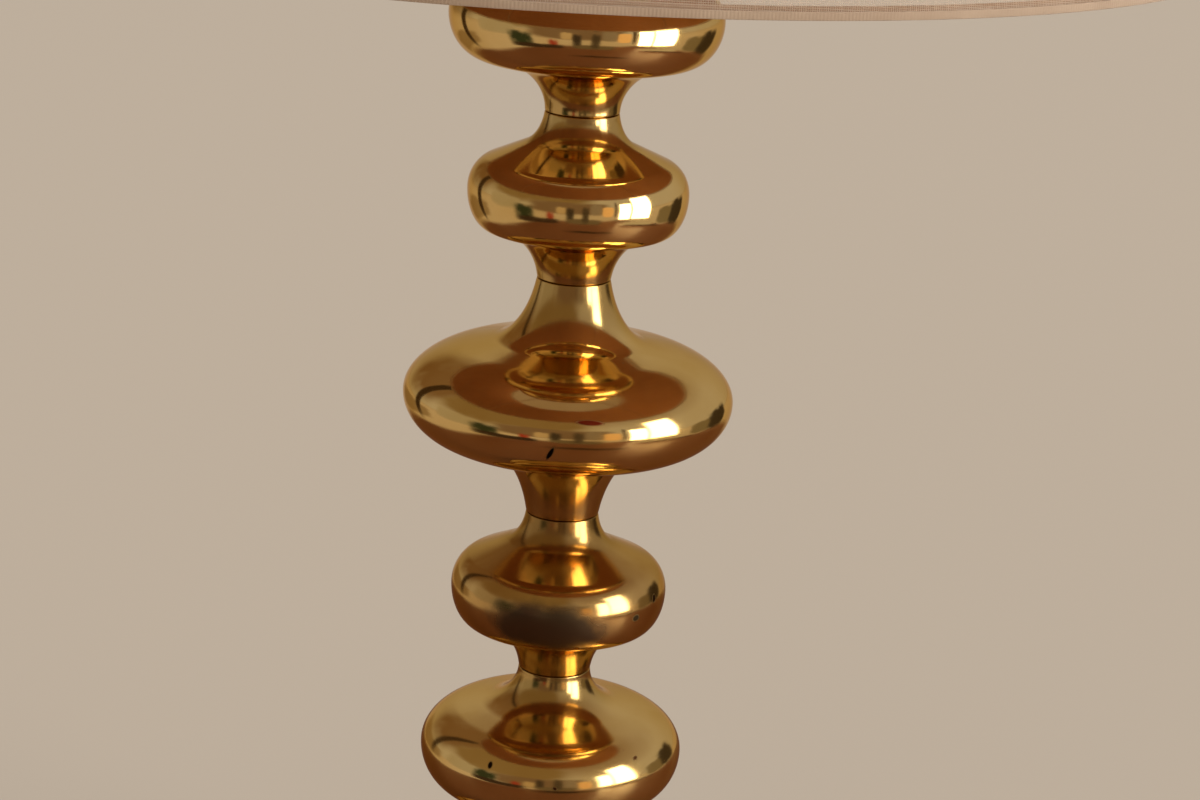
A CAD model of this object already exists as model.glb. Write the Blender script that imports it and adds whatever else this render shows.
import math

import bmesh
import bpy
import numpy as np
from mathutils import Matrix, Vector


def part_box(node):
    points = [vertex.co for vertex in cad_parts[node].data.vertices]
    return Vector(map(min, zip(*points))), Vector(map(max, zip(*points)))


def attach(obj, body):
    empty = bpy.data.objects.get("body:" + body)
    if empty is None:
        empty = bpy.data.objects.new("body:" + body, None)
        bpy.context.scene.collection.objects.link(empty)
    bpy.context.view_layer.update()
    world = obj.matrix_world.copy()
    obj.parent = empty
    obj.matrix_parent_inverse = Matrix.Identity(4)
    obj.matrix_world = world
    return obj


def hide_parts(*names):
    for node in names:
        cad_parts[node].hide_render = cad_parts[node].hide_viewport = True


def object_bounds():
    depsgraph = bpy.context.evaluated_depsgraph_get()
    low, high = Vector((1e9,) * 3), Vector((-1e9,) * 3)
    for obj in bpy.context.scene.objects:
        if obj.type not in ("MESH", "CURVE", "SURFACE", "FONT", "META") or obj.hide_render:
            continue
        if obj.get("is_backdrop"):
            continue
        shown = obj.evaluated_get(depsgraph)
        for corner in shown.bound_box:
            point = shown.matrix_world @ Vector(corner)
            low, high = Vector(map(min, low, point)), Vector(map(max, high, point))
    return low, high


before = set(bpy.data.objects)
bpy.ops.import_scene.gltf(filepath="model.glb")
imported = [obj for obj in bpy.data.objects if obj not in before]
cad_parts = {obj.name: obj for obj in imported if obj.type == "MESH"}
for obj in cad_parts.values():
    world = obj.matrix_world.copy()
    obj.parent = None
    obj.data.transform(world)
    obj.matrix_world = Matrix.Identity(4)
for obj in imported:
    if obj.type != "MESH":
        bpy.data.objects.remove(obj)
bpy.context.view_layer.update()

# The camera. A long lens about a metre from the stem looks down on it, stands a little to the
# right, and leans, so that the lamp leans to the right in the picture.
MM = 0.001
PICTURE_WIDTH = 1200
FOCAL_PIXELS = 2955
CAMERA_PITCH = math.radians(15.87)
CAMERA_ROLL = math.radians(2.9)
CAMERA_DISTANCE = 1111 * MM
AIM_HEIGHT = 249.5 * MM
STEM_LEFT_OF_CENTRE = 32.2
SENSOR_MM = 36


def camera_matrix():
    """Right, up and back axes from the pitch, then turned about the up axis and rolled."""
    forward = Vector((0, math.cos(CAMERA_PITCH), -math.sin(CAMERA_PITCH)))
    right = Vector((1, 0, 0))
    up = right.cross(forward)
    place = Vector((0, 0, AIM_HEIGHT)) - forward * CAMERA_DISTANCE
    yaw = math.atan(STEM_LEFT_OF_CENTRE / FOCAL_PIXELS)
    forward, right = (forward * math.cos(yaw) + right * math.sin(yaw),
                      right * math.cos(yaw) - forward * math.sin(yaw))
    right, up = (right * math.cos(CAMERA_ROLL) + up * math.sin(CAMERA_ROLL),
                 up * math.cos(CAMERA_ROLL) - right * math.sin(CAMERA_ROLL))
    axes = Matrix((right, up, -forward)).transposed().to_4x4()
    axes.translation = place
    return axes


scene = bpy.context.scene
scene.view_settings.view_transform = "Standard"
camera_data = bpy.data.cameras.new("camera")
camera_data.sensor_width = SENSOR_MM
camera_data.lens = FOCAL_PIXELS / PICTURE_WIDTH * SENSOR_MM
camera_data.clip_start = 0.05
camera_data.clip_end = 60
camera = bpy.data.objects.new("camera", camera_data)
camera.matrix_world = camera_matrix()
scene.collection.objects.link(camera)
scene.camera = camera


# The studio. A plain pale floor runs out to a pale surround that dims overhead, and a soft window
# stands at the right. Round the set are the cards and the dark mat that are put up round polished
# metal: only mirrors see them, and they give the brass its darks.
FLOOR_REACH = 30
WINDOW_DISTANCE = 0.8
WINDOW_FOOT = 0.06
WINDOW_RADIANCE = 7.0
WINDOW_COLOUR = "#fffaf0"
# Of each pane: its name, its bearing in degrees, its width, and the height of its top.
WINDOW_PANES = (("left", 49, 0.17, 0.52), ("right", 67.8, 0.3, 0.76))
CARD_DISTANCE = 1.25
CARD_COLUMNS = 12
PAPER_COLOUR = "#beb09f"
PAPER_EVENNESS = 0.76
BACKDROP_COLOUR = "#b9ab9a"
# The surround's two colours, and the sine of the elevation where each has its full strength.
SURROUND_COLOURS = ((0.45, "#b6afa7"), (0.85, "#93806e"))
MAT = ((-0.51, -0.8), (0.75, 0.65))
MAT_HEIGHT = 0.001
# What the fading's product of shares and noise comes to at the middle of a board.
FULL_DEPTH = 1 / 32


def linear(hex_colour):
    """An sRGB hex colour as linear red, green, blue and 1."""
    parts = [int(hex_colour[i:i + 2], 16) / 255 for i in (1, 3, 5)]
    return [c / 12.92 if c <= 0.04045 else ((c + 0.055) / 1.055) ** 2.4 for c in parts] + [1]


def node(tree, kind, inputs=None, **settings):
    """Adds one shader node. Settings are its own options. Each of its inputs gets a value or a hex
    colour, or is joined to the output that feeds it: of a whole node, the first one in use."""
    made = tree.nodes.new("ShaderNode" + kind)
    for name, value in settings.items():
        setattr(made, name, value)
    for name, value in (inputs or {}).items():
        if isinstance(value, str):
            value = linear(value)
        if isinstance(value, bpy.types.Node):
            value = next(output for output in value.outputs if output.enabled)
        if isinstance(value, bpy.types.NodeSocket):
            tree.links.new(value, made.inputs[name])
        else:
            made.inputs[name].default_value = value
    return made


def finished(name, build):
    """A material of this name whose surface is the shader that build(tree) returns."""
    made = bpy.data.materials.new(name)
    made.use_nodes = True
    tree = made.node_tree
    tree.nodes.clear()
    node(tree, "OutputMaterial", {"Surface": build(tree)})
    return made


def fading(build_board, feather):
    """The shader of a board that fades out towards its four edges over this share of its size, a
    little unevenly, as a real thing out of focus does."""
    def build(tree):
        span = node(tree, "UVMap", uv_map="span")
        rest = node(tree, "VectorMath", {0: (1, 1, 0), 1: span}, operation="SUBTRACT")
        inside = node(tree, "VectorMath", {0: span, 1: rest}, operation="MULTIPLY")
        sides = node(tree, "SeparateXYZ", {"Vector": inside})
        within = node(tree, "Math", {0: sides.outputs["X"], 1: sides.outputs["Y"]},
                      operation="MULTIPLY")
        uneven = node(tree, "TexNoise", {"Vector": span, "Scale": 4.0, "Detail": 2.0})
        depth = node(tree, "Math", {0: within, 1: uneven}, operation="MULTIPLY")
        solid = node(tree, "MapRange", {"Value": depth, "From Max": feather * FULL_DEPTH},
                     interpolation_type="SMOOTHSTEP")
        return node(tree, "MixShader", {
            0: solid, 1: node(tree, "BsdfTransparent"), 2: build_board(tree)})
    return build


def staged(name, points, faces, material, span, mirrored_only=False):
    """Puts a surface on the stage, with the share of its width and height at each face corner. One
    that is mirrored only casts no shadow and sends no light to anything dull."""
    mesh = bpy.data.meshes.new(name)
    mesh.from_pydata(points, [], faces)
    mesh.materials.append(material)
    mesh.uv_layers.new(name="span").uv.foreach_set("vector", np.ravel(span))
    made = bpy.data.objects.new(name, mesh)
    scene.collection.objects.link(made)
    made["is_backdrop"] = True
    if mirrored_only:
        made.visible_camera = made.visible_diffuse = made.visible_shadow = False


def rectangle(low, high, height):
    """The corners of a level rectangle between two corners in plan."""
    return [(low[0], low[1], height), (high[0], low[1], height),
            (high[0], high[1], height), (low[0], high[1], height)]


def build_surround(tree):
    """The surround's colour goes from the walls' to the dim ceiling's as the sight line rises. The
    camera sees plain paper there instead."""
    towards = node(tree, "TexCoord").outputs["Generated"]
    rise = node(tree, "SeparateXYZ", {"Vector": towards}).outputs["Z"]
    ramp = node(tree, "ValToRGB", {"Fac": rise})
    for stop, (sine, colour) in zip(ramp.color_ramp.elements, SURROUND_COLOURS):
        stop.position, stop.color = sine, linear(colour)
    light = node(tree, "Background", {"Color": ramp, "Strength": 1.0})
    backdrop = node(tree, "Background", {"Color": BACKDROP_COLOUR, "Strength": 1.0})
    seen = node(tree, "LightPath").outputs["Is Camera Ray"]
    node(tree, "OutputWorld", {
        "Surface": node(tree, "MixShader", {0: seen, 1: light, 2: backdrop})})


def card(name, bearing, width, low, high, colour, feather=0.3, nearer=0.0):
    """A curved card round the stem that glows in one colour and fades out at its edges. Its
    bearing is 0 on the camera's side and grows to its right. Its lower and upper edges are
    elevations above the middle of the stem, and it ends at the floor. Angles are in degrees."""
    distance = CARD_DISTANCE - nearer
    share = np.linspace(0, 1, CARD_COLUMNS)
    turn = np.radians(bearing + width * (share - 0.5))
    levels = np.maximum(AIM_HEIGHT + distance * np.tan(np.radians((low, high))), 2 * MAT_HEIGHT)
    points = [(distance * np.sin(t), -distance * np.cos(t), z) for z in levels for t in turn]
    faces = [(k, k + 1, k + 1 + CARD_COLUMNS, k + CARD_COLUMNS) for k in range(CARD_COLUMNS - 1)]
    span = [(share[k % CARD_COLUMNS], k // CARD_COLUMNS) for face in faces for k in face]
    staged(name, points, faces, finished(name + "_paper", fading(lambda tree: node(
        tree, "Emission", {"Color": colour, "Strength": 1.0}), feather)), span,
        mirrored_only=True)


def soft_light(name, middle, size, radiance, colour, aim=(0, 0, AIM_HEIGHT), mirrored=True):
    """A rectangle of light that faces its aim. Its power gives it this radiance. One that is
    mirrored shines in polished and glossy surfaces only, and the other kind lights dull ones
    only, so that it leaves no patch of light in the brass."""
    data = bpy.data.lights.new(name, "AREA")
    data.shape = "RECTANGLE"
    data.size, data.size_y = size
    data.energy = radiance * math.pi * data.size * data.size_y
    data.color = linear(colour)[:3]
    made = bpy.data.objects.new(name, data)
    made.location = middle
    made.rotation_euler = (Vector(aim) - made.location).to_track_quat("-Z", "Y").to_euler()
    made.visible_camera = False
    made.visible_glossy = mirrored
    made.visible_diffuse = not mirrored
    scene.collection.objects.link(made)


def build_paper(tree):
    """Matt paper. What the camera and the brass see of it is for the most part its own even
    colour, and for the rest the light that falls on it, shadow and all."""
    lit = node(tree, "BsdfDiffuse", {"Color": PAPER_COLOUR, "Roughness": 1.0})
    even = node(tree, "Emission", {"Color": PAPER_COLOUR, "Strength": 1.0})
    path = node(tree, "LightPath")
    seen = path.outputs["Is Camera Ray"]
    for ray in ("Is Glossy Ray", "Is Transmission Ray"):
        seen = node(tree, "Math", {0: seen, 1: path.outputs[ray]}, operation="MAXIMUM")
    part = node(tree, "Math", {0: seen, 1: PAPER_EVENNESS}, operation="MULTIPLY")
    return node(tree, "MixShader", {0: part, 1: lit, 2: even})


# Pale matt paper, a little warm, without gloss.
corners = [(0, 0), (1, 0), (1, 1), (0, 1)]
staged("floor", rectangle((-FLOOR_REACH, -FLOOR_REACH), (FLOOR_REACH, FLOOR_REACH), 0),
       [(0, 1, 2, 3)], finished("matt_paper", build_paper), corners)
# Varnished brown board: half dull, so that it takes a glare from the window.
staged("mat", rectangle(*MAT, MAT_HEIGHT), [(0, 1, 2, 3)],
       finished("varnished_board", fading(lambda tree: node(tree, "BsdfPrincipled", {
           "Base Color": "#6b4632", "Roughness": 0.4}), 0.3)), corners,
       mirrored_only=True)
surround = bpy.data.worlds.new("surround")
surround.use_nodes = True
surround.node_tree.nodes.clear()
build_surround(surround.node_tree)
scene.world = surround

for pane, bearing, wide, top in WINDOW_PANES:
    turn = math.radians(bearing)
    middle = Vector((math.sin(turn) * WINDOW_DISTANCE, -math.cos(turn) * WINDOW_DISTANCE,
                     (WINDOW_FOOT + top) / 2))
    soft_light(f"window_{pane}_pane", middle, (wide, top - WINDOW_FOOT), WINDOW_RADIANCE,
               WINDOW_COLOUR, aim=(0, 0, middle.z))
# Of each light that only dull things see: its name, its middle, its size, its radiance and colour.
soft_light("overhead", (2.0, 2.6, 4.0), (10.0, 7.0), 0.95, "#fffdfb", aim=(2.0, 2.6, 0),
           mirrored=False)
soft_light("window_side", (2.9, -1.4, 1.4), (1.7, 1.8), 7.6, "#fffbf4", mirrored=False)
soft_light("front_fill", (-1.2, -3.2, 1.8), (2.4, 1.6), 1.2, "#fffdfb", mirrored=False)
for card_row in (
    # name, bearing, width, low, high, colour, feather, nearer
    ("dim_upper_left", -48, 150, 4, 62, "#85704f", 0.5),
    ("dim_left", -134, 66, -4, 62, "#7b6146", 0.6, 0.01),
    ("grey_left", -79, 42, -20, 16, "#a89f90", 0.4, 0.02),
    ("dim_front", -8, 88, -20, 22, "#7a6553", 0.4, 0.02),
    ("dark_left_post", -118, 9, -60, 50, "#3a2b1c", 0.5, 0.75),
    ("pale_card", -16, 12, -16, 10, "#b8a284", 0.6, 0.04),
    ("grey_card", 19, 14, -16, 20, "#8a7d72", 0.5, 0.04),
    ("orange_card", 31, 12, -16, 12, "#ecc08b", 0.2, 0.1),
    ("window_edge", 39, 3.5, -22, 26, "#574536", 0.6, 0.3),
    ("dim_left_row", -128, 54, -40, -4, "#938068", 0.5, 0.62),
    ("dark_right_card", 121, 26, -32, 9, "#40372d", 0.5, 0.6),
    ("dim_right_row", 102, 26, -30, 3, "#7c705b", 0.4, 0.58),
    ("green_card", -55, 26, -30, 10, "#333a29", 0.7, 0.65),
    ("dark_left_row", -42, 54, -30, -13, "#3a2c22", 0.5, 0.68),
    ("red_card", -27, 10, -24, -1, "#97392a", 0.9, 0.65),
    ("dark_front_post", -7, 9, -30, 14, "#3a3129", 0.7, 0.65),
    ("dark_front_bar", 7, 42, -24, -11, "#6a5c49", 0.6, 0.66),
    ("dark_front_card", 8, 9, -30, 18, "#4a3f33", 0.7, 0.67),
    ("pale_sill", 66, 46, -30, -16, "#b9ae9e", 0.5, 0.62),
    ("dark_sill_line", 74, 56, -30, -20.5, "#2e251d", 0.7, 0.64),
    ("dark_mat_edge", 14, 70, -60, -29, "#30251a", 1.1, 0.92),
):
    card(*card_row)


# Foot felt: a disc of pressed wool, glued under the foot to keep the iron off the table. It is
# punched out of a sheet, so it is even in thickness and only its edge is a little rounded.
FELT_ROUNDING = 0.5
# Steps round a turned disc, and the angle in degrees past which an edge stays sharp.
DISC_TURNS = 128
CREASE = 35


def filleted(corners, steps=6):
    """An outline of [radius, height] through corners of (radius, height, rounding). A rounding is
    the arc that touches both sides of its corner: its middle lies on the line that halves the
    corner, and its points swing evenly from one side to the other."""
    corners = np.asarray(corners, float)
    share = np.linspace(0, 1, steps)[:, None]
    points = []
    for k, (x, y, rounding) in enumerate(corners):
        here = np.array((x, y))
        if rounding == 0:
            points.append(here[None])
            continue
        back, ahead = corners[k - 1, :2] - here, corners[(k + 1) % len(corners), :2] - here
        back, ahead = back / np.linalg.norm(back), ahead / np.linalg.norm(ahead)
        half = math.acos(np.clip(back @ ahead, -1, 1)) / 2
        inwards = (back + ahead) / np.linalg.norm(back + ahead)
        middle = here + inwards * rounding / math.sin(half)
        start = here + back * rounding / math.tan(half) - middle
        end = here + ahead * rounding / math.tan(half) - middle
        sweep = math.pi - 2 * half
        arc = start * np.sin((1 - share) * sweep) + end * np.sin(share * sweep)
        points.append(middle + arc / math.sin(sweep))
    return np.vstack(points)


def grid_faces(rows, columns, rows_close=False, columns_close=True):
    """The faces between neighbours on a grid of points, which may close on itself either way."""
    row, column = np.meshgrid(np.arange(rows - (not rows_close)),
                              np.arange(columns - (not columns_close)), indexing="ij")
    below, beside = (row + 1) % rows, (column + 1) % columns
    return np.stack([row * columns + column, row * columns + beside,
                     below * columns + beside, below * columns + column], 2).reshape(-1, 4)


def revolved(outline, turns=DISC_TURNS, swell=None, closes=True):
    """A surface of revolution. Each point of the outline, in mm, is carried round the Z axis, and
    swell(angle, radius, height) is added to its radius. The outline closes on itself, or else it
    runs from end to end."""
    outline = np.asarray(outline, float)
    angle = np.linspace(0, 2 * math.pi, turns, endpoint=False)[None]
    radius = np.repeat(outline[:, :1], turns, 1)
    height = np.repeat(outline[:, 1:], turns, 1)
    if swell is not None:
        radius = radius + swell(angle, radius, height)
    points = np.stack([radius * np.sin(angle), -radius * np.cos(angle), height], 2)
    return points.reshape(-1, 3) * MM, grid_faces(len(outline), turns, rows_close=closes)


def add_piece(name, surface, material, body, node_name):
    """Makes one piece of a surface's points and faces. Doubled points are merged, faces turn
    outwards, and edges sharper than the crease stay sharp. The piece rides on its body and stands
    for its CAD node."""
    points, faces = surface
    mesh = bpy.data.meshes.new(name)
    mesh.from_pydata(points, [], faces)
    work = bmesh.new()
    work.from_mesh(mesh)
    bmesh.ops.remove_doubles(work, verts=work.verts, dist=1e-7)
    bmesh.ops.recalc_face_normals(work, faces=work.faces)
    work.to_mesh(mesh)
    work.free()
    mesh.shade_smooth()
    mesh.set_sharp_from_angle(angle=math.radians(CREASE))
    mesh.materials.append(material)
    made = bpy.data.objects.new(name, mesh)
    scene.collection.objects.link(made)
    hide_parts(node_name)
    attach(made, body)
    return made


def bounds_mm(name):
    """Lowest and highest height of a CAD node, in mm."""
    low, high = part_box(name)
    return low.z / MM, high.z / MM


def mottled(name, colours, roughness, grain, relief=0.0, **shader):
    """A surface whose colour and roughness drift between two values over spots of one grain, and
    which rises and falls by a small relief, both in mm. Other values go to the shader itself."""
    def build(tree):
        place = node(tree, "TexCoord").outputs["Object"]
        spots = node(tree, "TexNoise", {"Vector": place, "Scale": 1 / (grain * MM), "Detail": 3.0})
        share = node(tree, "MapRange", {"Value": spots, "From Min": 0.3, "From Max": 0.7})
        colour = node(tree, "Mix", {
            "Factor": share, "A": colours[0], "B": colours[1]}, data_type="RGBA")
        dullness = node(tree, "MapRange", {
            "Value": share, "To Min": roughness[0], "To Max": roughness[1]})
        inputs = {"Base Color": colour, "Roughness": dullness}
        if relief:
            inputs["Normal"] = node(tree, "Bump", {"Height": spots, "Distance": relief * MM})
        return node(tree, "BsdfPrincipled", {**inputs, **shader})
    return finished(name, build)


# Pressed wool felt: short matted fibres, so it is quite without gloss.
felt = mottled("wool_felt", ("#223025", "#344536"), (0.95, 1.0), 1.2, relief=0.4)
felt_low, felt_high = bounds_mm("foot_felt")
felt_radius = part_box("foot_felt")[1].x / MM
add_piece("foot_felt_disc", revolved(filleted([
    (0, felt_low, 0), (felt_radius, felt_low, FELT_ROUNDING),
    (felt_radius, felt_high, FELT_ROUNDING), (0, felt_high, 0),
]), closes=False), felt, "stand", "foot_felt")


# Foot shell: brass sheet spun to an upright band under a hollowed rise, with a hole at the back for
# the cord's bush. Spinning leaves an even wall, and the lathe's polish faint rings.
NECK_RADIUS = 13.8
BRASS_WALL = 1.6
LIP = 0.35
BRASS_TURNS = 192
CURVE_POINTS = 26
FOOT_RADIUS = 85
FOOT_BAND = 13.7
# Height, rim inwards, rim upwards, fall of the line between, flare outwards and its first angle.
FOOT_RISE = (59, 40, 17, 6, 27, 0.08)
BUSH_HOLE = 5.3
DRILL_SIDES = 48
# The brass, in mm: the size of its smears, the spacing of its specks, the lathe's rings and their
# depth, its dents and theirs, the grain of a ragged edge, and the distances from the axis between
# which the dullness of the necks ends.
SMEAR_SIZE = 35
SPECK_SPACING = 9
LATHE_RING = 1.6
LATHE_DEPTH = 0.004
DENT_SIZE = 24
DENT_DEPTH = 0.25
RAGGED_GRAIN = 1000 / 90
UNBUFFED = (15, 25)
# What each flaw does: its colour, where it has only one, and how much duller it makes the brass.
UNBUFFED_LOOK = ("#dcd7ce", 0.07)
SPECK_LOOK = ("#4a3218", 0.3)
TARNISH_LOOK = ("#6f5f4a", 0.22)
MARK_DULLS = 0.4
SPECKS_KEPT = 0.2
TARNISH_RAGGED = 0.7


def half_walls(half, rim_radius):
    """Outer and inner [radius, height] from a neck to the widest line, which is at height 0. A
    quarter of an ellipse hollows out from the neck, another rounds the rim, and between them runs
    the line that touches both. The inner wall is the outer one moved in along its normals."""
    height, rim_in, rim_up, drop, flare_out, start = half
    flare_up = (height - rim_up - drop) / (1 - math.sin(start))

    def flare(u):
        place = np.stack([NECK_RADIUS + flare_out * (math.cos(start) - np.cos(u)),
                          height - flare_up * (np.sin(u) - math.sin(start))], -1)
        return place, np.stack([flare_up * np.cos(u), flare_out * np.sin(u)], -1)

    def rim(v):
        place = np.stack([rim_radius - rim_in + rim_in * np.cos(v), rim_up * np.sin(v)], -1)
        return place, np.stack([rim_up * np.cos(v), rim_in * np.sin(v)], -1)

    # The fall of the line that touches both is found by halving the angles it may have.
    shallow, steep = 0.0, math.pi / 2
    for _ in range(50):
        fall = (shallow + steep) / 2
        u = math.atan2(flare_up * math.cos(fall), flare_out * math.sin(fall))
        v = math.atan2(rim_up * math.cos(fall), rim_in * math.sin(fall))
        across, down = (flare(u)[0] - rim(v)[0]) * (-1, 1)
        if down * math.cos(fall) > across * math.sin(fall):
            shallow = fall
        else:
            steep = fall
    parts = [flare(np.linspace(start, u, CURVE_POINTS)), rim(np.linspace(v, 0, CURVE_POINTS))]
    outer, normal = (np.vstack(both) for both in zip(*parts))
    inner = outer - BRASS_WALL * normal / np.linalg.norm(normal, axis=1)[:, None]
    inner[0] = NECK_RADIUS - BRASS_WALL, height
    outer = outer[outer[:, 1] < height - LIP]
    quarter = np.linspace(math.pi / 2, 0, 5)
    lip = np.stack([NECK_RADIUS - LIP + LIP * np.cos(quarter),
                    height - LIP + LIP * np.sin(quarter)], 1)
    return np.vstack([lip, outer]), inner


def mark(tree, place, middle, reach, lean=0.0, ragged=0.0):
    """Where a mark is: 1 inside an ellipsoid of this middle and reach, in mm, that leans in the
    picture's plane, and 0 outside it, with an edge that a noise makes ragged."""
    within = node(tree, "Mapping", {
        "Vector": place,
        "Location": [x * MM for x in middle],
        "Rotation": (0, math.radians(lean), 0),
        "Scale": [x * MM for x in reach],
    }, vector_type="TEXTURE")
    edge = node(tree, "VectorMath", {0: within}, operation="LENGTH")
    if ragged:
        spread = node(tree, "TexNoise", {
            "Vector": place, "Scale": 1 / (RAGGED_GRAIN * MM), "Detail": 4.0})
        edge = node(tree, "Math", {0: spread, 1: ragged, 2: edge}, operation="MULTIPLY_ADD")
    return node(tree, "MapRange", {
        "Value": edge, "From Min": 0.55 + ragged / 2, "From Max": 1.0 + ragged / 2,
        "To Min": 1.0, "To Max": 0.0}, interpolation_type="SMOOTHSTEP")


def polished_brass(name, marks=(), tarnish=None, tints=("#edcc8b", "#e0ba73"), blur=(0.06, 0.13)):
    """Buffed brass under old lacquer. Smears a few centimetres wide change its tint and gloss,
    fine rings from the lathe and shallow dents bend what it mirrors, and dark specks dot it. In the
    necks, where a buffing wheel hardly reaches, it is duller and a little darker."""
    def build(tree):
        place = node(tree, "TexCoord").outputs["Object"]
        flat = node(tree, "SeparateXYZ", {"Vector": place})
        plan = node(tree, "CombineXYZ", {"X": flat.outputs["X"], "Y": flat.outputs["Y"]})
        from_axis = node(tree, "VectorMath", {0: plan}, operation="LENGTH")
        neck = node(tree, "MapRange", {
            "Value": from_axis, "From Min": UNBUFFED[0] * MM, "From Max": UNBUFFED[1] * MM,
            "To Min": 1.0, "To Max": 0.0}, interpolation_type="SMOOTHSTEP")
        smears = node(tree, "TexNoise", {
            "Vector": place, "Scale": 1 / (SMEAR_SIZE * MM), "Detail": 4.0})
        share = node(tree, "MapRange", {"Value": smears, "From Min": 0.35, "From Max": 0.7})
        tint = node(tree, "Mix", {
            "Factor": share, "A": tints[0], "B": tints[1]}, data_type="RGBA")
        colour = node(tree, "Mix", {"Factor": neck, "A": tint, "B": UNBUFFED_LOOK[0]},
                      data_type="RGBA", blend_type="MULTIPLY")
        gloss = node(tree, "MapRange", {"Value": share, "To Min": blur[0], "To Max": blur[1]})
        dullness = node(tree, "Math", {0: neck, 1: UNBUFFED_LOOK[1], 2: gloss},
                        operation="MULTIPLY_ADD")
        cells = node(tree, "TexVoronoi", {"Vector": place, "Scale": 1 / (SPECK_SPACING * MM)})
        rare = node(tree, "SeparateColor", {"Color": cells.outputs["Color"]})
        few = node(tree, "Math", {0: rare, 1: SPECKS_KEPT}, operation="LESS_THAN")
        dot = node(tree, "MapRange", {
            "Value": cells, "From Min": 0.02, "From Max": 0.05, "To Min": 0.75, "To Max": 0.0})
        specks = node(tree, "Math", {0: few, 1: dot}, operation="MULTIPLY")
        flaws = [(specks, *SPECK_LOOK)]
        flaws += [(mark(tree, place, *spot), shade, MARK_DULLS) for *spot, shade in marks]
        if tarnish:
            flaws.append((mark(tree, place, *tarnish, ragged=TARNISH_RAGGED), *TARNISH_LOOK))
        for where, shade, dulls in flaws:
            colour = node(tree, "Mix", {
                "Factor": where, "A": colour, "B": shade}, data_type="RGBA")
            dullness = node(tree, "Math", {0: where, 1: dulls, 2: dullness},
                            operation="MULTIPLY_ADD")
        turned = node(tree, "CombineXYZ", {"X": from_axis, "Z": flat.outputs["Z"]})
        rings = node(tree, "TexNoise", {"Vector": turned, "Scale": 1 / (LATHE_RING * MM)})
        dents = node(tree, "TexNoise", {"Vector": place, "Scale": 1 / (DENT_SIZE * MM)})
        polish = node(tree, "Bump", {
            "Height": rings, "Strength": 0.3, "Distance": LATHE_DEPTH * MM})
        relief = node(tree, "Bump", {
            "Height": dents, "Strength": 0.6, "Distance": DENT_DEPTH * MM, "Normal": polish})
        return node(tree, "BsdfPrincipled", {
            "Base Color": colour, "Roughness": dullness, "Metallic": 1.0,
            "Specular Tint": "#e3cdab", "Normal": relief})
    return finished(name, build)


def drill(piece, middle, radius, axis, depth):
    """Cuts a round hole through a piece: a cylinder along X or Y is taken away from it."""
    turn = Matrix.Rotation(math.pi / 2, 4, "Y" if axis == "X" else "X")
    bit_mesh = bpy.data.meshes.new("bit")
    work = bmesh.new()
    bmesh.ops.create_cone(
        work, cap_ends=True, segments=DRILL_SIDES, radius1=radius * MM, radius2=radius * MM,
        depth=depth * MM, matrix=Matrix.Translation([x * MM for x in middle]) @ turn)
    work.to_mesh(bit_mesh)
    work.free()
    bit = bpy.data.objects.new("bit", bit_mesh)
    scene.collection.objects.link(bit)
    cut = piece.modifiers.new("hole", "BOOLEAN")
    cut.operation, cut.object, cut.solver = "DIFFERENCE", bit, "EXACT"
    bpy.context.view_layer.update()
    seen = piece.evaluated_get(bpy.context.evaluated_depsgraph_get())
    mesh = bpy.data.meshes.new_from_object(seen)
    piece.modifiers.clear()
    piece.data = mesh
    mesh.set_sharp_from_angle(angle=math.radians(CREASE))
    bpy.data.objects.remove(bit)


foot_low = bounds_mm("foot_shell")[0]
foot_outer, foot_inner = half_walls(FOOT_RISE, FOOT_RADIUS)
band_foot = filleted([
    (FOOT_RADIUS, 0, 0), (FOOT_RADIUS, -FOOT_BAND, 0.6),
    (FOOT_RADIUS - BRASS_WALL, -FOOT_BAND, 0.3), (FOOT_RADIUS - BRASS_WALL, 0, 0),
])
foot_shell = add_piece("foot_brass_shell", revolved(
    np.vstack([foot_outer, band_foot[1:-1], foot_inner[::-1]]) + (0, foot_low + FOOT_BAND),
    BRASS_TURNS), polished_brass("polished_brass_foot"), "stand", "foot_shell")
bush_low, bush_high = bounds_mm("inlet_bush")
bush_height = (bush_low + bush_high) / 2
drill(foot_shell, (0, FOOT_RADIUS, bush_height), BUSH_HOLE, "Y", depth=10)


# Cord inlet: a flanged bush pressed into the hole at the back of the foot. It is moulded in black
# phenolic resin, which stays glossy, and it rounds the edge that the cord bends over.
BUSH_BORE = 3.6
BUSH_BODY = 5.0
BUSH_FLANGE = 6.2
BUSH_INSIDE = 5.9
BUSH_OUTSIDE = 1.9
phenolic = mottled("black_phenolic", ("#171210", "#241c18"), (0.16, 0.3), 6.0)
points, faces = revolved(filleted([
    (BUSH_BORE, -BUSH_INSIDE, 0.3), (BUSH_BODY, -BUSH_INSIDE, 0.3), (BUSH_BODY, 0.3, 0),
    (BUSH_FLANGE, 0.3, 0.2), (BUSH_FLANGE, BUSH_OUTSIDE, 0.8), (BUSH_BORE, BUSH_OUTSIDE, 0.7),
]), turns=64)
along_y = points[:, [0, 2, 1]] + np.array((0, FOOT_RADIUS, bush_height)) * MM
add_piece("cord_inlet_bush", (along_y, faces), phenolic, "stand", "inlet_bush")


# Inside the foot: an iron ballast that gives the tall lamp its footing, and the washer, the nut and
# the threaded tube that draw the whole stack together. None of it shows once the felt is on.
def finish_nodes(material, *nodes):
    """Gives CAD nodes that keep their own shape this material."""
    for name in nodes:
        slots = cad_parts[name].data.materials
        slots.clear()
        slots.append(material)


# Sand-cast grey iron: a dark skin with the grain of the sand in it.
finish_nodes(mottled("cast_iron", ("#2f2e2d", "#474543"), (0.6, 0.85), 1.5, relief=0.5,
                     Metallic=1.0), "ballast")
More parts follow.
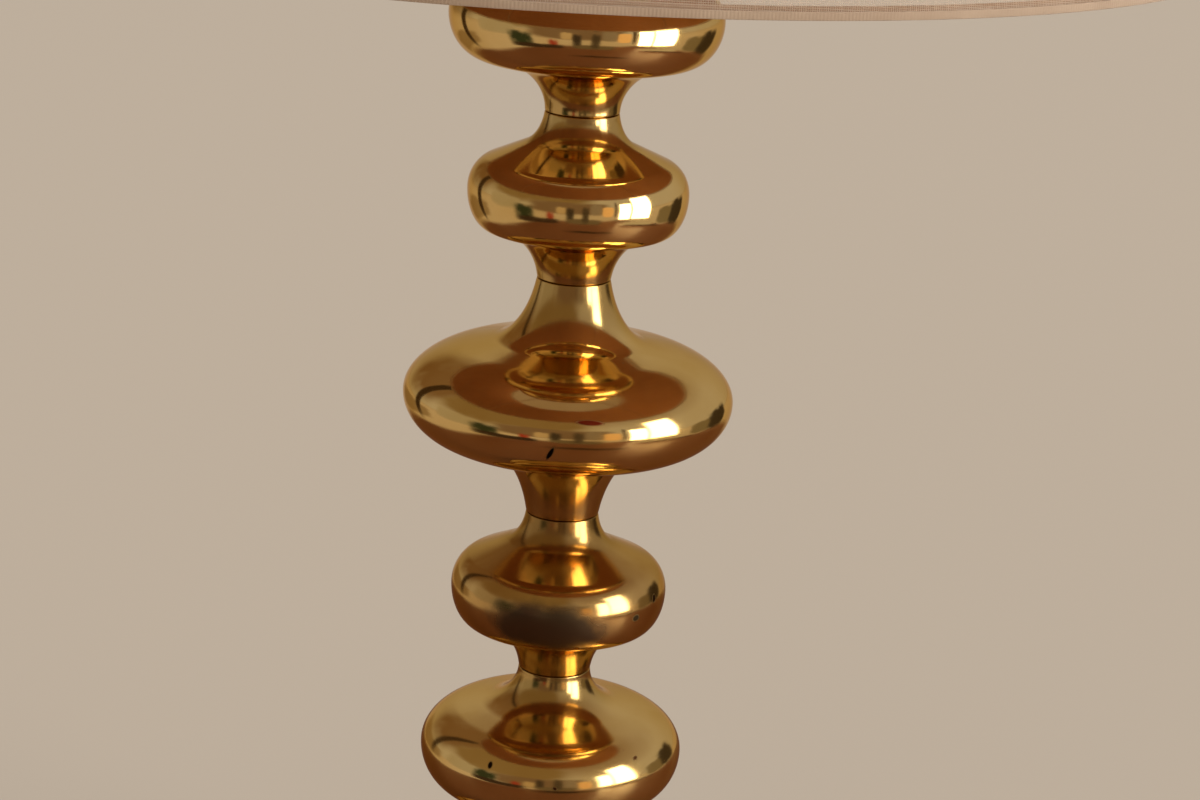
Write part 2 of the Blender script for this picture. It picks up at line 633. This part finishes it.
# Zinc-plated steel: a cool, slightly cloudy grey.
finish_nodes(mottled("zinc_plated_steel", ("#a2a5a8", "#bfc1c2"), (0.28, 0.45), 4.0, Metallic=1.0),
             "foot_washer", "foot_nut", "stem_tube")


# Five bobbins: hollow brass beads spun in two halves, closed round a neck at each end, and polished.
# They are threaded on the tube, with a centring ring inside each joint.
# Each half is given in the way of FOOT_RISE.
LARGE = {
    "radius": 62,
    "above": (44.9, 38.3, 20.4, 0.2, 19.2, 0.3),
    "below": (46, 25.6, 19.4, 0.7, 20.6, 0.27),
}
SMALL = {
    "radius": 41,
    "above": (29.4, 10.5, 12.4, 4.7, 9.6, 0.16),
    "below": (32.8, 8.7, 15, 0.2, 18.4, 0.13),
}
MEDIUM = {
    "radius": 50.3,
    "above": (32.1, 20, 15.4, 0.6, 20, 0),
    "below": (35.1, 14, 16.7, 0.4, 21.4, 0.01),
}


def add_bobbin(name, shape, marks=(), tarnish=None, **finish):
    """A closed shell: both halves' outer walls, one above and one below the widest line, and the
    inner walls behind them."""
    widest = bounds_mm(name)[0] + shape["below"][0]
    upper_out, upper_in = half_walls(shape["above"], shape["radius"])
    lower_out, lower_in = half_walls(shape["below"], shape["radius"])
    outline = np.vstack([upper_out, (lower_out * (1, -1))[-2::-1],
                         lower_in * (1, -1), upper_in[-2::-1]]) + (0, widest)
    add_piece(name + "_shell", revolved(outline, BRASS_TURNS),
              polished_brass("polished_brass_" + name, marks, tarnish, **finish),
              "stand", name)


# Each mark is its middle and its reach, in mm, its lean in degrees, and its colour. The lower small
# bobbin has lost its lacquer, and its brass has gone dull and brown round the front of the rim.
add_bobbin("lower_medium_bobbin", MEDIUM, [
    ((-22.1, -42.9, 117.8), (1.1, 2, 1.9), 15, "#2a1a10"),
    ((32.5, -33.9, 119.7), (1.5, 2, 1.0), -20, "#5a3a22"),
    ((2.5, -49.5, 112.5), (1.2, 2, 0.8), 30, "#4a2c18"),
], blur=(0.08, 0.15))
add_bobbin("lower_small_bobbin", SMALL, [
    ((29.6, -28.3, 173.6), (1.9, 3, 1.7), 0, "#3f3322"),
    ((36.2, -18.6, 178.4), (1.2, 2, 2.2), 10, "#2c1c12"),
], ((-5, -41, 171.5), (31, 18, 12), 3), tints=("#d9b473", "#be9458"), blur=(0.1, 0.19))
add_bobbin("large_bobbin", LARGE, [
    ((-5.2, -60.4, 246.2), (1.1, 2.5, 4.6), 24, "#170d08"),
    ((8.3, -59.5, 257.7), (6.5, 4, 1.1), 2, "#7a2c18"),
])
add_bobbin("upper_small_bobbin", SMALL)
add_bobbin("upper_medium_bobbin", MEDIUM)
# Turned brass, left as it came off the lathe: duller and a little browner than the polished shells.
turned_brass = mottled("turned_brass", ("#cfa25a", "#b98b48"), (0.25, 0.4), 5.0, Metallic=1.0)
finish_nodes(turned_brass, *(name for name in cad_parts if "centring_ring" in name))


# Neck cap and clamp nut: the turned cap closes the top neck, its collar centres it, and the brass
# nut over it clamps the stack.
CAP_COLLAR = 11.9
TUBE_BORE = 5.3
CAP_THICKNESS = 3
cap_low, cap_high = bounds_mm("neck_cap")
cap_seat = cap_high - CAP_THICKNESS
add_piece("neck_cap_disc", revolved(filleted([
    (CAP_COLLAR, cap_low, 0.5), (CAP_COLLAR, cap_seat, 0), (NECK_RADIUS, cap_seat, 0.3),
    (NECK_RADIUS, cap_high, 0.8), (TUBE_BORE, cap_high, 0.3), (TUBE_BORE, cap_low, 0.3),
])), polished_brass("polished_brass_cap"), "stand", "neck_cap")
finish_nodes(turned_brass, "clamp_nut")


# Lampholder: a domed cap on the tube and a body screwed to it, both moulded in black phenolic resin.
# The body has a coarse thread outside for the shade's rings, and the cap fine ribs to grip.
HOLDER_RADIUS = 19.5
HOLDER_WALL = 2
HOLDER_INSIDE = HOLDER_RADIUS - HOLDER_WALL
BOSS_RADIUS = 9
BOSS_HEIGHT = 4
DOME_HEIGHT = 10
SPINDLE_HOLE = 2.3
RIBS = 60
RIB_HEIGHT = 0.35
RIB_EASE = 1.5
# The body's thread: its pitch, its depth, what is plain below it and above it, and its run-out.
HOLDER_THREAD = 2.5
HOLDER_THREAD_DEPTH = 0.7
PLAIN_BELOW = 4
PLAIN_ABOVE = 1.5
HOLDER_THREAD_EASE = 2
SOCKET_RADIUS = 16.2
SOCKET_FLOOR = 8.3


def ramp_between(height, low, high, ease):
    """1 between two heights and 0 outside them, with an even slope of this length at each end."""
    return np.clip((height - low) / ease, 0, 1) * np.clip((high - height) / ease, 0, 1)


def upright(radius, low, high, count):
    """The outline of an upright wall: this many points at one radius, between two heights."""
    return np.stack([np.full(count, radius), np.linspace(low, high, count)], 1)


holder_low, holder_high = bounds_mm("holder_cap")
dome_low = holder_low + BOSS_HEIGHT
angle = np.linspace(0, math.pi / 2, 20)


def dome(inset):
    """A quarter of an ellipse from the boss out to the side wall, moved in by the inset."""
    return np.stack([
        BOSS_RADIUS - inset + (HOLDER_RADIUS - BOSS_RADIUS) * np.sin(angle),
        dome_low + inset + DOME_HEIGHT * (1 - np.cos(angle)),
    ], 1)


cap_side = upright(HOLDER_RADIUS, dome_low + DOME_HEIGHT + 0.4, holder_high - 0.8, 30)
cap_outline = np.vstack([
    filleted([(TUBE_BORE, dome_low, 0), (TUBE_BORE, holder_low, 0.3),
              (BOSS_RADIUS, holder_low, 0.6), (BOSS_RADIUS, dome_low, 0)])[1:-1],
    dome(0),
    cap_side,
    filleted([(*cap_side[-1], 0), (HOLDER_RADIUS, holder_high, 0.5),
              (HOLDER_INSIDE, holder_high, 0.3), (HOLDER_INSIDE, cap_side[-1, 1], 0)])[1:-1],
    dome(HOLDER_WALL)[::-1],
    [(TUBE_BORE, dome_low + HOLDER_WALL)],
])


def on_side(radius):
    """Whether a point is on the outside of the side wall."""
    return radius > HOLDER_RADIUS - 0.01


def cap_ribs(turn, radius, height):
    """Ribs round the side wall. Between one and the next the wall sinks below its radius, by the
    rib's height less the size of a cosine."""
    where = ramp_between(height, cap_side[0, 1], cap_side[-1, 1], RIB_EASE) * on_side(radius)
    return where * RIB_HEIGHT * (np.abs(np.cos(turn * RIBS / 2)) - 1)


holder_cap = add_piece("lampholder_cap", revolved(cap_outline, RIBS * 8, cap_ribs), phenolic,
                       "stand", "holder_cap")
key_low, key_high = bounds_mm("switch_key")
key_height = (key_low + key_high) / 2
drill(holder_cap, (HOLDER_RADIUS, 0, key_height), SPINDLE_HOLE, "X", depth=8)

body_low, body_high = bounds_mm("holder_body")
body_side = upright(HOLDER_RADIUS, body_low + 1, body_high - 1, 190)
body_outline = np.vstack([
    filleted([(HOLDER_INSIDE, body_low, 0.2), (HOLDER_RADIUS, body_low, 0.5),
              (*body_side[0], 0)])[:-1],
    body_side,
    filleted([(*body_side[-1], 0), (HOLDER_RADIUS, body_high, 0.6),
              (SOCKET_RADIUS, body_high, 0.8), (SOCKET_RADIUS, body_low + SOCKET_FLOOR, 0),
              (HOLDER_INSIDE, body_low + SOCKET_FLOOR, 0)])[1:],
])


def body_thread(turn, radius, height):
    """A screw thread on the side wall, cut below its radius and running out at each end: a cosine
    of the height less the turn, with its crests and roots cut flat."""
    where = ramp_between(height, body_low + PLAIN_BELOW, body_high - PLAIN_ABOVE,
                         HOLDER_THREAD_EASE) * on_side(radius)
    wave = np.cos(2 * math.pi * height / HOLDER_THREAD - turn)
    return where * HOLDER_THREAD_DEPTH * (np.clip(wave * 0.9 + 0.4, 0, 1) - 1)


add_piece("lampholder_body", revolved(body_outline, 144, body_thread), phenolic,
          "stand", "holder_body")

# Glazed porcelain: white, dense and glossy. It carries the contacts inside the holder.
finish_nodes(mottled("glazed_porcelain", ("#ece8df", "#e2dccf"), (0.12, 0.2), 8.0), "holder_insert")
finish_nodes(phenolic, "switch_block")
finish_nodes(turned_brass, "centre_contact",
             *(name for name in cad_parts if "terminal_screw" in name))


# Screw shell: thin brass sheet drawn to a cup and rolled to the bulb cap's round thread. It sits in
# the porcelain, and the bulb turns in it.
SHELL_INSIDE = 14.2
SHELL_WALL = 0.5
SHELL_OUTSIDE = SHELL_INSIDE + SHELL_WALL
SHELL_FLANGE = 9.5
CAP_PITCH = 3.62
THREAD_DEPTH = 0.8
THREAD_EASE = 1.8
shell_low, shell_high = bounds_mm("screw_shell")


def rolled_thread(low, high):
    """A swell for a wall rolled to a round thread between two heights, in from its radius by a
    cosine of the height less the turn."""
    def swell(turn, radius, height):
        wave = np.cos(2 * math.pi * height / CAP_PITCH - turn) - 1
        return ramp_between(height, low, high, THREAD_EASE) * THREAD_DEPTH / 2 * wave
    return swell


shell_wall = upright(SHELL_INSIDE, shell_low + 1, shell_high, 110)
add_piece("socket_screw_shell", revolved(np.vstack([
    filleted([(SHELL_FLANGE, shell_low + SHELL_WALL, 0), (SHELL_FLANGE, shell_low, 0),
              (SHELL_OUTSIDE, shell_low, 0.5), (SHELL_OUTSIDE, shell_wall[0, 1], 0)])[:-1],
    shell_wall + (SHELL_WALL, 0), shell_wall[::-1],
    [(SHELL_INSIDE, shell_low + SHELL_WALL)],
]), 96, rolled_thread(shell_low + 2, shell_high - 0.5)), turned_brass,
    "stand", "screw_shell")


# Switch key: a flat paddle on a round spindle, moulded in one in phenolic resin. It leaves the
# holder's side and turns the switch inside by quarter turns.
KEY_TURNS = 72
# Along the spindle: distance from the stem, half height, half thickness and squareness, in mm.
KEY_SECTIONS = [
    (10, 1.7, 1.7, 2), (10.3, 2, 2, 2), (21.5, 2, 2, 2), (22.6, 2.4, 2, 2), (23.4, 4, 1.9, 2.4),
    (24.6, 5.8, 1.75, 3), (26.5, 7, 1.6, 3.4), (29, 7.5, 1.45, 3.6), (31.5, 7.1, 1.5, 3.4),
    (33.4, 6, 1.75, 3), (34.6, 4.4, 1.9, 2.6), (35, 2.8, 1.3, 2.2), (35, 0, 0, 2),
]


def lofted(sections, turns, steps=7):
    """A closed skin over sections along X. Each section is a superellipse, and between the given
    ones every size follows the cubic that has at each of them the mean slope to its neighbours,
    and no slope at the two nearest each end."""
    given = np.array([(sections[0][0], 0, 0, 2)] + sections, float)
    at = np.arange(len(given))
    fine = np.linspace(0, at[-1], at[-1] * steps + 1)
    before = np.clip(np.floor(fine).astype(int), 0, at[-1] - 1)
    share = (fine - before)[:, None]
    slope = np.gradient(given, axis=0)
    slope[[0, 1, -2, -1]] = 0
    step = given[before + 1] - given[before]
    curve = (given[before] + slope[before] * share
             + (3 * step - 2 * slope[before] - slope[before + 1]) * share ** 2
             + (slope[before] + slope[before + 1] - 2 * step) * share ** 3)
    x, half_height, half_thick, square = (curve[:, k:k + 1] for k in range(4))
    angle = np.linspace(0, 2 * math.pi, turns, endpoint=False)[None]

    def reach(wave, half):
        return half * np.sign(wave) * np.abs(wave) ** (2 / square)

    points = np.stack([np.repeat(x, turns, 1), reach(np.sin(angle), half_thick),
                       reach(np.cos(angle), half_height)], 2)
    return points.reshape(-1, 3) * MM, grid_faces(len(x), turns)


points, faces = lofted(KEY_SECTIONS, KEY_TURNS)
add_piece("switch_paddle", (points + np.array((0, 0, key_height * MM)), faces), phenolic,
          "switch_key", "switch_key")


# Shade rings: two rings in phenolic resin on the holder's thread, milled round the edge for the
# fingers. The lower one stays put, and the upper one is screwed down on the shade's fitter.
RING_INSIDE = 19.8
RING_OUTSIDE = 28
RING_CHAMFER = 1
RING_SHOULDER = RING_OUTSIDE - RING_CHAMFER
MILLING = 72
MILLING_DEPTH = 0.45


def milled_edge(turn, radius, height):
    """Round flutes in the rim, the size of a cosine, and deepest at its outer face."""
    depth = np.clip(radius - RING_SHOULDER, 0, 1)
    return depth * MILLING_DEPTH * (np.abs(np.cos(turn * MILLING / 2)) - 1)


for ring_name, ring_body in (("lower_shade_ring", "stand"), ("upper_shade_ring", "upper_shade_ring")):
    ring_low, ring_high = bounds_mm(ring_name)
    add_piece(ring_name + "_milled", revolved(filleted([
        (RING_INSIDE, ring_low, 0.3), (RING_SHOULDER, ring_low, 0.3),
        (RING_OUTSIDE, ring_low + RING_CHAMFER, 0.3), (RING_OUTSIDE, ring_high - RING_CHAMFER, 0.3),
        (RING_SHOULDER, ring_high, 0.3), (RING_INSIDE, ring_high, 0.3),
    ]), MILLING * 8, milled_edge), phenolic, ring_body, ring_name)


# Bulb foot: the solder contact, the black glass round it, and the rolled aluminium cap that holds
# the glass. The cap's round thread turns in the screw shell.
CONTACT_RADIUS = 4
TIP_RADIUS = 6
INSULATOR_RADIUS = 12.3
CAP_RADIUS = 13.1
CAP_WALL = 0.5
CAP_PLAIN_BELOW = 1.4
CAP_PLAIN_ABOVE = 4.2
# Tin solder: a dull grey drop that set with a slightly lumpy skin.
solder = mottled("tin_solder", ("#8f9091", "#adaeaf"), (0.35, 0.55), 1.5, relief=0.3, Metallic=1.0)
low, high = bounds_mm("bulb_contact")
add_piece("bulb_solder_contact", revolved(filleted([
    (0, low, 0), (CONTACT_RADIUS, low, 1.1), (CONTACT_RADIUS, high, 0.2), (0, high, 0),
]), turns=48, closes=False), solder, "bulb", "bulb_contact")
# Vitrite: black glass slag, poured and smooth.
vitrite = mottled("black_vitrite", ("#0e0f12", "#1a1b1f"), (0.06, 0.14), 5.0)
low, high = bounds_mm("bulb_insulator")
add_piece("bulb_glass_insulator", revolved(filleted([
    (0, low, 0), (TIP_RADIUS, low, 0.8), (INSULATOR_RADIUS, high - 1.2, 0.5),
    (INSULATOR_RADIUS, high, 0.2), (0, high, 0),
]), turns=72, closes=False), vitrite, "bulb", "bulb_insulator")
# Rolled aluminium: bright and slightly brushed round the thread.
aluminium = mottled("rolled_aluminium", ("#c4c6c8", "#d6d7d8"), (0.22, 0.34), 4.0, Metallic=1.0)
low, high = bounds_mm("bulb_cap")
cap_wall = upright(CAP_RADIUS, low, high, 120)
add_piece("bulb_screw_cap", revolved(
    np.vstack([cap_wall, (cap_wall - (CAP_WALL, 0))[::-1]]), 96,
    rolled_thread(low + CAP_PLAIN_BELOW, high - CAP_PLAIN_ABOVE)), aluminium,
    "bulb", "bulb_cap")


# Bulb: a round envelope blown in opal glass and closed over a glass mount, which carries the
# filament. Its neck is cemented into the cap.
BULB_RADIUS = 30
BULB_TAPER = 50
BULB_WALL = 1
NECK_IN_CAP = 4
GLASS_NECK = 12.3
low, high = bounds_mm("bulb_glass")


def glass_outline(radius, neck):
    """Up from the neck, a half wave of a cosine widens to the radius, and a quarter circle closes
    it at the top."""
    base = low + NECK_IN_CAP
    angle = np.linspace(0, math.pi, 40)
    taper = np.stack([(radius + neck) / 2 - (radius - neck) / 2 * np.cos(angle),
                      base + BULB_TAPER * angle / math.pi], 1)
    angle = np.linspace(0, math.pi / 2, 40)[1:]
    crown = np.stack([radius * np.cos(angle), base + BULB_TAPER + radius * np.sin(angle)], 1)
    return np.vstack([[(neck, low)], taper, crown])


# Opal glass: milky through and through, so it glows evenly and hides the filament.
opal = mottled("opal_glass", ("#f5f2ec", "#ece8e0"), (0.1, 0.16), 30.0,
               **{"Subsurface Weight": 0.25, "Subsurface Scale": 0.004})
add_piece("bulb_envelope", revolved(np.vstack([
    glass_outline(BULB_RADIUS - BULB_WALL, GLASS_NECK - BULB_WALL)[::-1],
    glass_outline(BULB_RADIUS, GLASS_NECK),
]), turns=128, closes=False), opal, "bulb", "bulb_glass")
# Drawn clear glass for the mount, smooth and colourless, and drawn tungsten for the filament, dark
# grey and almost dull.
finish_nodes(finished("clear_glass", lambda tree: node(tree, "BsdfPrincipled", {
    "Base Color": "#eef3f1", "Roughness": 0.03, "Transmission Weight": 1.0,
    "IOR": 1.5})), "bulb_mount")
finish_nodes(mottled("tungsten_wire", ("#4a4948", "#6a6867"), (0.4, 0.6), 1.0, Metallic=1.0),
             "filament")


# Shade frame: a flat fitter ring that lies between the two shade rings, three wire arms welded to
# it, and a wire ring at each edge of the shade. All of it is steel dipped in tan enamel, which has
# a soft gloss and doesn't show against the lining.
WIRE_RADIUS = 1.5
WIRE_TURNS = 320
FITTER_INSIDE = 20.5
FITTER_OUTSIDE = 27
FITTER_RECESS = 43.2
ARM_BEARINGS = (90, 210, 330)
enamel = mottled("tan_enamel", ("#a98667", "#9b7859"), (0.3, 0.45), 12.0)
low, high = bounds_mm("fitter_ring")
fitter_height = (low + high) / 2
add_piece("fitter_flat_ring", revolved(filleted([
    (FITTER_INSIDE, low, 0.3), (FITTER_OUTSIDE, low, 0.4),
    (FITTER_OUTSIDE, high, 0.4), (FITTER_INSIDE, high, 0.3),
])), enamel, "shade", "fitter_ring")

circle = np.linspace(0, 2 * math.pi, 20, endpoint=False)
wire_radius = {}
for ring_name in ("lower_wire_ring", "upper_wire_ring"):
    low, high = bounds_mm(ring_name)
    wire_radius[ring_name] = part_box(ring_name)[1].x / MM - WIRE_RADIUS
    add_piece(ring_name + "_hoop", revolved(np.stack([
        wire_radius[ring_name] + WIRE_RADIUS * np.cos(circle),
        (low + high) / 2 + WIRE_RADIUS * np.sin(circle),
    ], 1), WIRE_TURNS), enamel, "shade", ring_name)

arm_reach = wire_radius["lower_wire_ring"] - FITTER_OUTSIDE
arm_fall = math.atan2(FITTER_RECESS, arm_reach)
arm_length = math.hypot(arm_reach, FITTER_RECESS) - WIRE_RADIUS
# Its end at the ring is drawn down to the ring's thickness, and a bead of weld joins it to the hoop.
arm_outline = filleted([
    (0, 0.1, 0), (0.7, 0.1, 0.2), (WIRE_RADIUS, 2.4, 1.0), (WIRE_RADIUS, arm_length - 2.2, 1.0),
    (2.2, arm_length - 0.2, 0.6), (0, arm_length + 0.3, 0),
])
for k, bearing in enumerate(ARM_BEARINGS, 1):
    points, faces = revolved(arm_outline, turns=24, closes=False)
    turn = Matrix.Rotation(math.radians(bearing), 3, "Z")
    place = np.array(turn @ Matrix.Rotation(math.pi / 2 + arm_fall, 3, "Y"))
    start = np.array(turn @ Vector((FITTER_OUTSIDE, 0, fitter_height))) * MM
    arm_node = [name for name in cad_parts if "arm" in name][k - 1]
    add_piece(f"fitter_wire_{k}", (points @ place.T + start, faces), enamel,
              "shade", arm_node)


# Shade cover: sheer voile bonded to a clear stiff film, cut as one flat piece, rolled to a cone and
# lapped at the back. Its threads lie straight in the flat cut, and light comes through the gaps.
COVER_LOWER = 224.1
COVER_UPPER = 179.6
LAP = 12
LAP_RISE = 0.35
COVER_COLUMNS = 420
COVER_ROWS = 40
THREAD_PITCH = 0.7
THREAD_RELIEF = 0.2
# How often the threads' thickness changes along X and Y of the flat cut, in times per metre, for the
# threads that are stripes across X and those across Y.
KNOTS = (700, 40, 1)
SLUBS = (30, 700, 1)
cover_low, cover_high = bounds_mm("shade_cover")
cover_slant = math.hypot(cover_high - cover_low, COVER_LOWER - COVER_UPPER)
cut_outer = COVER_LOWER * cover_slant / (COVER_LOWER - COVER_UPPER)
lap_angle = LAP / COVER_LOWER


def voile(name):
    """Plain-woven sheer voile on film. Each thread is a stripe across the flat cut, thicker and
    thinner along its length, and what is between threads is mostly clear. Real threads lie half
    as far apart, and they are drawn wider so that they show."""
    def build(tree):
        flat_cut = node(tree, "UVMap", uv_map="flat_cut")
        knots, slubs = (node(tree, "TexNoise", {
            "Vector": node(tree, "Mapping", {"Vector": flat_cut, "Scale": per_metre}),
            "Scale": 1.0, "Detail": 2.0}) for per_metre in (KNOTS, SLUBS))
        count = node(tree, "VectorMath", {"Vector": flat_cut, "Scale": 1 / (THREAD_PITCH * MM)},
                     operation="SCALE")
        cell = node(tree, "VectorMath", {0: count}, operation="FRACTION")
        sides = node(tree, "SeparateXYZ", {"Vector": cell})
        stripes = {}
        for side, width in (("X", knots), ("Y", slubs)):
            off = node(tree, "Math", {0: sides.outputs[side], 1: 0.5}, operation="SUBTRACT")
            away = node(tree, "Math", {0: off}, operation="ABSOLUTE")
            thick = node(tree, "Math", {0: width, 1: 0.5, 2: away}, operation="MULTIPLY_ADD")
            stripes[side] = node(tree, "MapRange", {
                "Value": thick, "From Min": 0.5, "From Max": 0.68})
        cover = node(tree, "Math", {0: stripes["X"], 1: stripes["Y"]}, operation="MAXIMUM")
        solid = node(tree, "MapRange", {"Value": cover, "To Min": 0.3, "To Max": 0.68})
        relief = node(tree, "Bump", {
            "Height": cover, "Strength": 0.5, "Distance": THREAD_RELIEF * MM})
        tone = node(tree, "Mix", {
            "Factor": slubs, "A": "#d9c0a6", "B": "#ecd9c4"}, data_type="RGBA")
        front = node(tree, "BsdfPrincipled", {
            "Base Color": tone, "Roughness": 0.85, "Sheen Weight": 0.2, "Normal": relief})
        through = node(tree, "BsdfTranslucent", {"Color": tone, "Normal": relief})
        cloth = node(tree, "MixShader", {0: 0.35, 1: front, 2: through})
        gap = node(tree, "BsdfTransparent", {"Color": "#ffffff"})
        return node(tree, "MixShader", {0: solid, 1: gap, 2: cloth})
    return finished(name, build)


def on_cone(share):
    """The radius and height on the cone, at a share of the slant from the lower edge to the upper."""
    return (COVER_LOWER + (COVER_UPPER - COVER_LOWER) * share,
            cover_low + (cover_high - cover_low) * share)


# The cover as a surface of two parameters: the angle round from the back, a lap more than a full
# turn, and the share of the slant. Where it laps, it lifts evenly off itself.
cover_turn = np.linspace(0, 2 * math.pi + lap_angle, COVER_COLUMNS)[:, None]
rise = np.linspace(0, 1, COVER_ROWS)[None]
lift = LAP_RISE * (np.clip((cover_turn - 2 * math.pi + lap_angle) / lap_angle, 0, 1) - 0.5)
cone_radius, cone_height = on_cone(rise)
radius = cone_radius + lift
cover_points = np.stack([
    -radius * np.sin(cover_turn), radius * np.cos(cover_turn),
    np.broadcast_to(cone_height, radius.shape),
], 2).reshape(-1, 3) * MM
# The corners of each face are taken the other way round, so that it faces outwards.
cover_faces = grid_faces(COVER_COLUMNS, COVER_ROWS, columns_close=False)[:, [0, 3, 2, 1]]
cover_mesh = bpy.data.meshes.new("shade_voile")
cover_mesh.from_pydata(cover_points, [], cover_faces)
cut_half = math.pi * COVER_LOWER / cut_outer * (1 + lap_angle / (2 * math.pi))
cut_turn = np.linspace(-cut_half, cut_half, COVER_COLUMNS)[:, None]
cut_radius = cut_outer - cover_slant * rise
flat_points = np.stack([cut_radius * np.sin(cut_turn), cut_radius * np.cos(cut_turn)], 2) * MM
loops = np.empty(len(cover_mesh.loops), np.int32)
cover_mesh.loops.foreach_get("vertex_index", loops)
cover_mesh.uv_layers.new(name="flat_cut").uv.foreach_set(
    "vector", flat_points.reshape(-1, 2)[loops].astype(np.float32).ravel())
cover_mesh.shade_smooth()
cover_mesh.materials.append(voile("sheer_voile_on_film"))
cover = bpy.data.objects.new("shade_voile", cover_mesh)
scene.collection.objects.link(cover)
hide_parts("shade_cover")
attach(cover, "shade")


# Shade lining: pale card behind the voile and brown tissue bonded inside it, which keep the lit bulb
# from being seen. Both stop short of the shade's edges, so that there the voile alone is seen.
CARD_GAP = 0.3
TISSUE_GAP = 0.5
LINING_FROM_EDGE = 7
FIBRE_CLOUD = 14
LIGHT_THROUGH = 0.6


def tissue(name, darker, paler):
    """A matt sheet, cloudy with pressed fibres. Some of the light comes through it."""
    def build(tree):
        place = node(tree, "TexCoord").outputs["Object"]
        fibres = node(tree, "TexNoise", {
            "Vector": place, "Scale": 1 / (FIBRE_CLOUD * MM), "Detail": 5.0})
        tone = node(tree, "Mix", {
            "Factor": fibres, "A": darker, "B": paler}, data_type="RGBA")
        sheet = node(tree, "BsdfDiffuse", {"Color": tone, "Roughness": 1.0})
        through = node(tree, "BsdfTranslucent", {"Color": tone})
        return node(tree, "MixShader", {0: LIGHT_THROUGH, 1: sheet, 2: through})
    return finished(name, build)


def lining_sheet(name, gap, material):
    """A cone inside the voile: from one end of the lining to the other its radius goes as the
    voile's does, less the lap's rise and this gap."""
    from_end = LINING_FROM_EDGE / (cover_high - cover_low)
    radius, height = on_cone(np.linspace(from_end, 1 - from_end, 24))
    wall = np.stack([radius - LAP_RISE / 2 - gap, height], 1)
    return add_piece(name, revolved(wall, WIRE_TURNS, closes=False), material,
                     "shade", "shade_cover")


linings = [lining_sheet("shade_card", CARD_GAP, tissue("pale_card", "#eadfce", "#f4eadc")),
           lining_sheet("shade_tissue", TISSUE_GAP, tissue("brown_tissue", "#b78862", "#cb9f7b"))]


# Bindings: narrow cotton tape, woven with a fine rib across its width. It is glued over each edge of
# the shade, turned in under the wire, and hides the cut edge of the voile.
TAPE = 0.5
TAPE_OUTSIDE = 2.6
# The ribs in one turn, which puts them 1.1 mm apart round the lower edge, and their height.
TAPE_RIBS = 1250
TAPE_RIB_HEIGHT = 0.08
TAPE_SPOTS_PER_METRE = 60


def tape(name):
    """Cotton tape: a fine rib across its width, a little darker and denser than the voile."""
    def build(tree):
        place = node(tree, "TexCoord").outputs["Object"]
        flat = node(tree, "SeparateXYZ", {"Vector": place})
        bearing = node(tree, "Math", {0: flat.outputs["Y"], 1: flat.outputs["X"]},
                       operation="ARCTAN2")
        along = node(tree, "Math", {0: bearing, 1: TAPE_RIBS}, operation="MULTIPLY")
        ribs = node(tree, "Math", {0: along}, operation="SINE")
        worn = node(tree, "TexNoise", {
            "Vector": place, "Scale": TAPE_SPOTS_PER_METRE, "Detail": 3.0})
        tone = node(tree, "Mix", {
            "Factor": worn, "A": "#a88f79", "B": "#bfa891"}, data_type="RGBA")
        relief = node(tree, "Bump", {
            "Height": ribs, "Strength": 0.3, "Distance": TAPE_RIB_HEIGHT * MM})
        return node(tree, "BsdfPrincipled", {
            "Base Color": tone, "Roughness": 0.9, "Sheen Weight": 0.15, "Normal": relief})
    return finished(name, build)


cotton_tape = tape("cotton_tape")
for tape_name, wire_name, upwards in (
    ("lower_binding", "lower_wire_ring", 1), ("upper_binding", "upper_wire_ring", -1),
):
    low, high = bounds_mm(tape_name)
    edge = low if upwards > 0 else high
    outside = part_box(tape_name)[1].x / MM
    inside = wire_radius[wire_name]
    free_edge = edge + upwards * TAPE_OUTSIDE
    turned_in = edge + upwards * TAPE
    add_piece(tape_name + "_tape", revolved(filleted([
        (outside, edge, 0.3), (outside, free_edge, 0.2), (outside - TAPE, free_edge, 0.1),
        (outside - TAPE, turned_in, 0.1), (inside, turned_in, 0.2), (inside, edge, 0.2),
    ], steps=5), WIRE_TURNS), cotton_tape, "shade", tape_name)

low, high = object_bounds()
